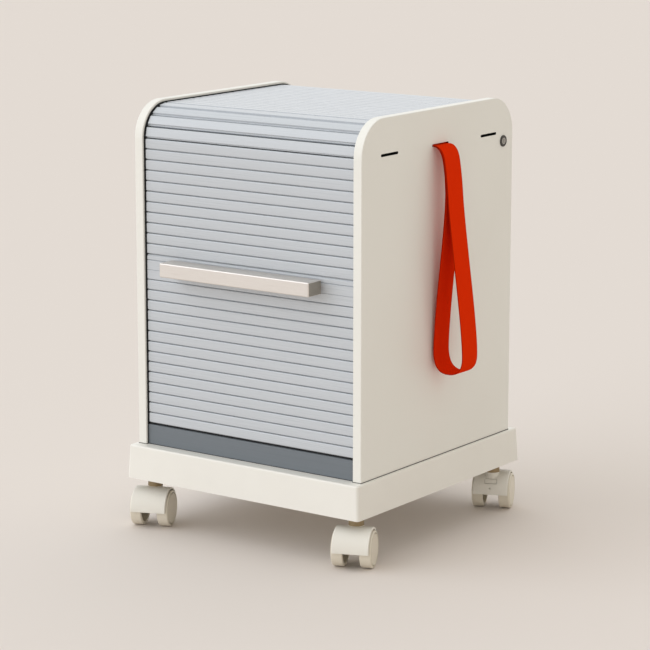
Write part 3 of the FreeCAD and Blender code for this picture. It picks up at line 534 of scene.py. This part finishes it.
def strapLine():
    # the loop's middle line, read from a smooth spline through its route
    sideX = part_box("right_side_panel")[1].x
    curve = bpy.data.curves.new("strapRoute", "CURVE")
    curve.dimensions = "3D"
    spline = curve.splines.new("NURBS")
    spline.points.add(len(webbing["route"]) - 1)
    for point, (out, up) in zip(spline.points, webbing["route"]):
        point.co = (sideX + out * mm, 0.0, slotZ + up * mm, 1.0)
    spline.order_u = webbing["routeOrder"]
    spline.use_endpoint_u = True
    spline.resolution_u = webbing["routeSteps"]
    carrier = bpy.data.objects.new("strapRoute", curve)
    bpy.context.collection.objects.link(carrier)
    mesh = bpy.data.meshes.new_from_object(carrier.evaluated_get(bpy.context.evaluated_depsgraph_get()))
    points = [v.co.copy() for v in mesh.vertices]
    bpy.data.objects.remove(carrier)
    return points


def strapMesh():
    line = strapLine()
    half, steps = webbing["width"] / 2 * mm, webbing["acrossSteps"]
    thick, pinch = webbing["thickness"] * mm, webbing["pinch"]
    edgeFrom, edgeThin = webbing["edgeFrom"], webbing["edgeThin"]
    bm = bmesh.new()
    threads = bm.loops.layers.uv.new("threads")
    lengths = [0.0]
    for a, b in zip(line, line[1:]):
        lengths.append(lengths[-1] + (b - a).length)
    rows, uvOf = [], {}
    for k, point in enumerate(line):
        ahead = line[min(k + 1, len(line) - 1)] - line[max(k - 1, 0)]
        across = Vector((-ahead.z, 0, ahead.x)).normalized()
        fromEnd = min(lengths[k], lengths[-1] - lengths[k]) / (webbing["pinchReach"] * mm)
        ply = thick * min(1.0, pinch + (1 - pinch) * fromEnd)
        row = []
        for side in (1, -1):
            for s in range(steps + 1):
                t = side * (1 - 2 * s / steps)
                fall = math.sqrt(max(0.0, 1 - max(0.0, (abs(t) - edgeFrom) / (1 - edgeFrom)) ** 2))
                offset = across * (side * ply / 2 * (edgeThin + (1 - edgeThin) * fall))
                vert = bm.verts.new(point + offset + Vector((0, t * half, 0)))
                uvOf[vert] = (t * half / mm, lengths[k] / mm)
                row.append(vert)
        rows.append(row)
    for a, b in zip(rows, rows[1:]):
        bridge(bm, a, b)
    bm.faces.new(rows[0][::-1])
    bm.faces.new(rows[-1])
    bmesh.ops.recalc_face_normals(bm, faces=bm.faces[:])
    for facet in bm.faces:
        for loop in facet.loops:
            loop[threads].uv = uvOf[loop.vert]
    mesh = meshFrom(bm, "strap", webbing["softAngle"])
    mesh.materials.append(finishes["webbing"])
    print("strap line", round(lengths[-1], 4), "m")
    return mesh


strap = pieceFrom("pullStrapWebbing", strapMesh(), "strap", ["pull_strap"])
print("strap made")

# cross-head screws: places, the way each head faces and its sizes in millimetres; no rise is a countersunk head
screws = {
    "panelScrews": {"body": "cabinet", "node": "panel_screws", "aim": (0, 0, -1),
                    "head": 4.0, "rise": 2.4, "shank": 2.0, "length": 34.0,
                    "at": [(x, y, 112.0) for x in (-182.25, 182.25) for y in (-120.0, 0.0, 120.0)]},
    "backScrews": {"body": "cabinet", "node": "back_screws", "aim": (0, 1, 0),
                   "head": 3.0, "rise": 1.6, "shank": 1.5, "length": 16.0,
                   "at": [(x, 153.712, z) for z in (122.0, 522.262) for x in (-130.0, 0.0, 130.0)]},
    "coverScrews": {"body": "cabinet", "node": "cover_screws", "aim": (0, 1, 0),
                    "head": 2.3, "rise": 0.0, "shank": 1.5, "length": 6.4,
                    "at": [(x, 183.512, z) for x in (-178.0, 178.0) for z in (150.15, 330.15, 510.15)]},
    "anchorScrews": {"body": "cabinet", "node": "strap_anchor_screws", "aim": (-1, 0, 0),
                     "head": 3.0, "rise": 1.6, "shank": 1.6, "length": 13.0,
                     "at": [(170.5, y, 560.262) for y in (-21.25, 21.25)]},
    "handleScrews": {"body": "upper_curtain", "node": "handle_screws", "aim": (0, 1, 0),
                     "head": 4.0, "rise": 2.4, "shank": 2.0, "length": 26.5,
                     "at": [(x, -170.912, 372.1) for x in (-116.0, 116.0)]},
    "camScrew": {"body": "lock_plug", "node": "lock_cam_screw", "aim": (-1, 0, 0),
                 "head": 4.0, "rise": 1.6, "shank": 1.5, "length": 8.0, "at": [(170.5, 158.512, 532.862)]},
}
screwPieces = {"cabinet": "cabinetScrews", "upper_curtain": "handleScrews", "lock_plug": "camScrew"}
screwShape = {
    "sides": 24, "softAngle": 35, "turnStep": 0.61,
    # the point, as shares of the shank's radius
    "tipRadius": 0.55, "tipLength": 2.0,
    # a raised head, as shares of its radius and its rise
    "raised": [(1.0, 0.0), (1.0, 0.5), (0.94, 0.8), (0.78, 1.0)],
    # a countersunk head, as shares of its radius and millimetres above its face
    "sunk": [(0.97, -0.1), (0.9, 0.0)], "sunkDepth": 1.6,
    # the cross, as shares of the head's radius, and its floor as a share of its rim
    "crossReach": 0.56, "crossHalf": 0.15, "crossDepth": 0.5, "crossFloor": 0.7,
}


def roundRing(bm, radius, z, sides):
    turns = [2 * math.pi * k / sides for k in range(sides)]
    return [bm.verts.new((radius * math.cos(t), radius * math.sin(t), z)) for t in turns]


def screwMesh(look):
    # head up +Z with its seat at Z = 0; a countersunk head lies flush below it
    head, shank, top, tip = look["head"], look["shank"], look["rise"], -look["length"]
    profile = [(screwShape["tipRadius"] * shank, tip), (shank, tip + screwShape["tipLength"] * shank)]
    if top:
        profile += [(shank, 0.0)] + [(r * head, z * top) for r, z in screwShape["raised"]]
    else:
        profile += [(shank, -screwShape["sunkDepth"])] + [(r * head, z) for r, z in screwShape["sunk"]]
    bm = bmesh.new()
    rings = [roundRing(bm, r, z, screwShape["sides"]) for r, z in profile]
    for lower, upper in zip(rings, rings[1:]):
        bridge(bm, lower, upper)
    bm.faces.new(rings[0][::-1])
    # the cross in the head: a plus outline sunk below the top face
    arm, half = screwShape["crossReach"] * head, screwShape["crossHalf"] * head
    plus = [(arm, -half), (arm, half), (half, half), (half, arm), (-half, arm), (-half, half),
            (-arm, half), (-arm, -half), (-half, -half), (-half, -arm), (half, -arm), (half, -half)]
    shrink, sunk = screwShape["crossFloor"], top - screwShape["crossDepth"] * head
    rim = [bm.verts.new((x, y, top)) for x, y in plus]
    floor = [bm.verts.new((shrink * x, shrink * y, sunk)) for x, y in plus]
    edges = []
    for loop in (rings[-1], rim):
        for k in range(len(loop)):
            pair = (loop[k], loop[(k + 1) % len(loop)])
            edges.append(bm.edges.get(pair) or bm.edges.new(pair))
    bmesh.ops.triangle_fill(bm, edges=edges, use_beauty=True)
    bridge(bm, rim, floor)
    bm.faces.new(floor)
    bmesh.ops.recalc_face_normals(bm, faces=bm.faces[:])
    bmesh.ops.scale(bm, vec=(mm, mm, mm), verts=bm.verts[:])
    return meshFrom(bm, "screw", screwShape["softAngle"])


def screwTree():
    # puts a screw on every point, with its head facing the aim and its cross turned a little further each time
    tree, given = newTree("screwSet", {
        "Places": "Geometry", "Screw": "Object", "Aim": "Vector", "Turn Step": "Float",
        "Material": "Material"}, "Screws")
    shape = addNode(tree, "GeometryNodeObjectInfo", links={"Object": given["Screw"]})
    index = addNode(tree, "GeometryNodeInputIndex").outputs[0]
    spin = addNode(tree, "ShaderNodeMath", {"operation": "MULTIPLY"}, {0: index, 1: given["Turn Step"]})
    facing = addNode(tree, "FunctionNodeAlignRotationToVector", {"axis": "Z"}, {"Vector": given["Aim"]})
    twist = addNode(tree, "ShaderNodeCombineXYZ", links={"Z": spin.outputs[0]})
    turned = addNode(tree, "FunctionNodeRotateRotation", {"rotation_space": "LOCAL"}, {
        0: facing.outputs[0], 1: twist.outputs[0]})
    copies = addNode(tree, "GeometryNodeInstanceOnPoints", links={
        "Points": given["Places"], "Instance": shape.outputs["Geometry"], "Rotation": turned.outputs[0]})
    endTree(tree, copies.outputs[0], given["Material"])
    return tree


def makeScrews():
    tree = screwTree()
    meshes, nodes = {}, {}
    for look in screws.values():
        template = bpy.data.objects.new("screwShape", screwMesh(look))
        bpy.context.collection.objects.link(template)
        points = bpy.data.meshes.new("places")
        points.from_pydata([tuple(c * mm for c in place) for place in look["at"]], [], [])
        made = runTree(points, tree, {
            "Screw": template, "Aim": look["aim"], "Turn Step": screwShape["turnStep"],
            "Material": finishes["zincSteel"]})
        bpy.data.objects.remove(template)
        meshes.setdefault(look["body"], []).append(made)
        nodes.setdefault(look["body"], []).append(look["node"])
    for body, made in meshes.items():
        pieceFrom(screwPieces[body], joined(made), body, nodes[body])


makeScrews()

# black sleeves in the three strap slots, partly painted shade: they darken the slots' insides. Sizes in millimetres
sleeves = {"count": 3, "spacing": 120.5, "length": 40.0, "height": 3.8, "wall": 0.1, "inset": 0.15,
           "cornerSteps": 6, "softAngle": 40}


def slotShadeMesh():
    panel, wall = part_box("right_side_panel"), sleeves["wall"]
    back, front = panel[0].x / mm + sleeves["inset"], panel[1].x / mm - sleeves["inset"]
    bm = bmesh.new()
    rings = []
    for shrink, x in ((0.0, back), (0.0, front), (wall, front), (wall, back)):
        u, v = sleeves["length"] / 2 - shrink, sleeves["height"] / 2 - shrink
        outline = roundedOutline([(-u, -v, v), (u, -v, v), (u, v, v), (-u, v, v)], sleeves["cornerSteps"])
        rings.append([bm.verts.new((x * mm, p.x * mm, p.y * mm)) for p in outline])
    for lower, upper in zip(rings, rings[1:] + rings[:1]):
        bridge(bm, lower, upper)
    bmesh.ops.recalc_face_normals(bm, faces=bm.faces[:])
    return meshFrom(bm, "sleeve", sleeves["softAngle"])


sleeveGap = sleeves["spacing"] * mm
slotSleeves = repeated(
    slotShadeMesh(), "sealRubber", sleeves["count"], (0.0, -sleeveGap, slotZ), (0.0, sleeveGap, 0.0))
# the slot sleeves are partly painted shade inside the slots
pieceFrom("slotSleeves", slotSleeves, "cabinet", [])
print("sleeves made")

# camera at the photographed angle: angles in radians, distances in metres, lens and sensor in millimetres
view = {"azimuth": 0.623, "elevation": 0.203, "distance": 3.593, "sideStep": -0.00086, "height": 0.2758,
        "lens": 142.1, "sensor": 36.0}
# matt paper floor and an even sky
studio = {"floor": "#dfd7d0", "floorSize": 80.0, "floorRough": 0.9, "sky": "#fffaf2", "skyStrength": 0.74}
# broad far soft boxes: where each stands as seen from the cabinet, its width in degrees and its strength
lamps = {
    "key": {"at": (-0.50, -0.60, 0.22), "width": 80, "strength": 1.72, "hex": "#edf4ff"},
    "top": {"at": (-0.30, 0.10, 0.95), "width": 80, "strength": 0.48, "hex": "#e0f0ff"},
    "back": {"at": (-0.55, 0.80, 0.30), "width": 80, "strength": 0.52, "hex": "#ecf2ff"},
}


def aimed(thing, at, target):
    thing.location = at
    thing.rotation_mode = "QUATERNION"
    thing.rotation_quaternion = (Vector(target) - Vector(at)).to_track_quat("-Z", "Y")


def makeCamera():
    a, e = view["azimuth"], view["elevation"]
    back = Vector((math.sin(a) * math.cos(e), -math.cos(a) * math.cos(e), math.sin(e)))
    target = Vector((math.cos(a), math.sin(a), 0)) * view["sideStep"] + Vector((0, 0, view["height"]))
    data = bpy.data.cameras.new("camera")
    data.lens, data.sensor_width = view["lens"], view["sensor"]
    camera = bpy.data.objects.new("camera", data)
    bpy.context.collection.objects.link(camera)
    aimed(camera, target + back * view["distance"], target)
    bpy.context.scene.camera = camera


def makeStudio():
    half = studio["floorSize"] / 2
    mesh = bpy.data.meshes.new("floor")
    mesh.from_pydata([(-half, -half, 0), (half, -half, 0), (half, half, 0), (-half, half, 0)], [], [(0, 1, 2, 3)])
    floor = bpy.data.objects.new("floor", mesh)
    bpy.context.collection.objects.link(floor)
    paper = newMaterial("paperFloor", {
        "Roughness": studio["floorRough"], "Specular IOR Level": 0.0, "Base Color": hexLinear(studio["floor"])})[0]
    mesh.materials.append(paper)
    for name, lamp in lamps.items():
        data = bpy.data.lights.new(name, "SUN")
        data.angle, data.energy = math.radians(lamp["width"]), lamp["strength"]
        data.color = hexLinear(lamp["hex"])[:3]
        light = bpy.data.objects.new(name, data)
        bpy.context.collection.objects.link(light)
        aimed(light, lamp["at"], (0, 0, 0))
    world = bpy.data.worlds.new("studio")
    world.use_nodes = True
    sky = world.node_tree.nodes["Background"]
    sky.inputs["Color"].default_value = hexLinear(studio["sky"])
    sky.inputs["Strength"].default_value = studio["skyStrength"]
    bpy.context.scene.world = world
    bpy.context.scene.view_settings.view_transform = "Standard"


makeCamera()
makeStudio()
print("camera and studio made")
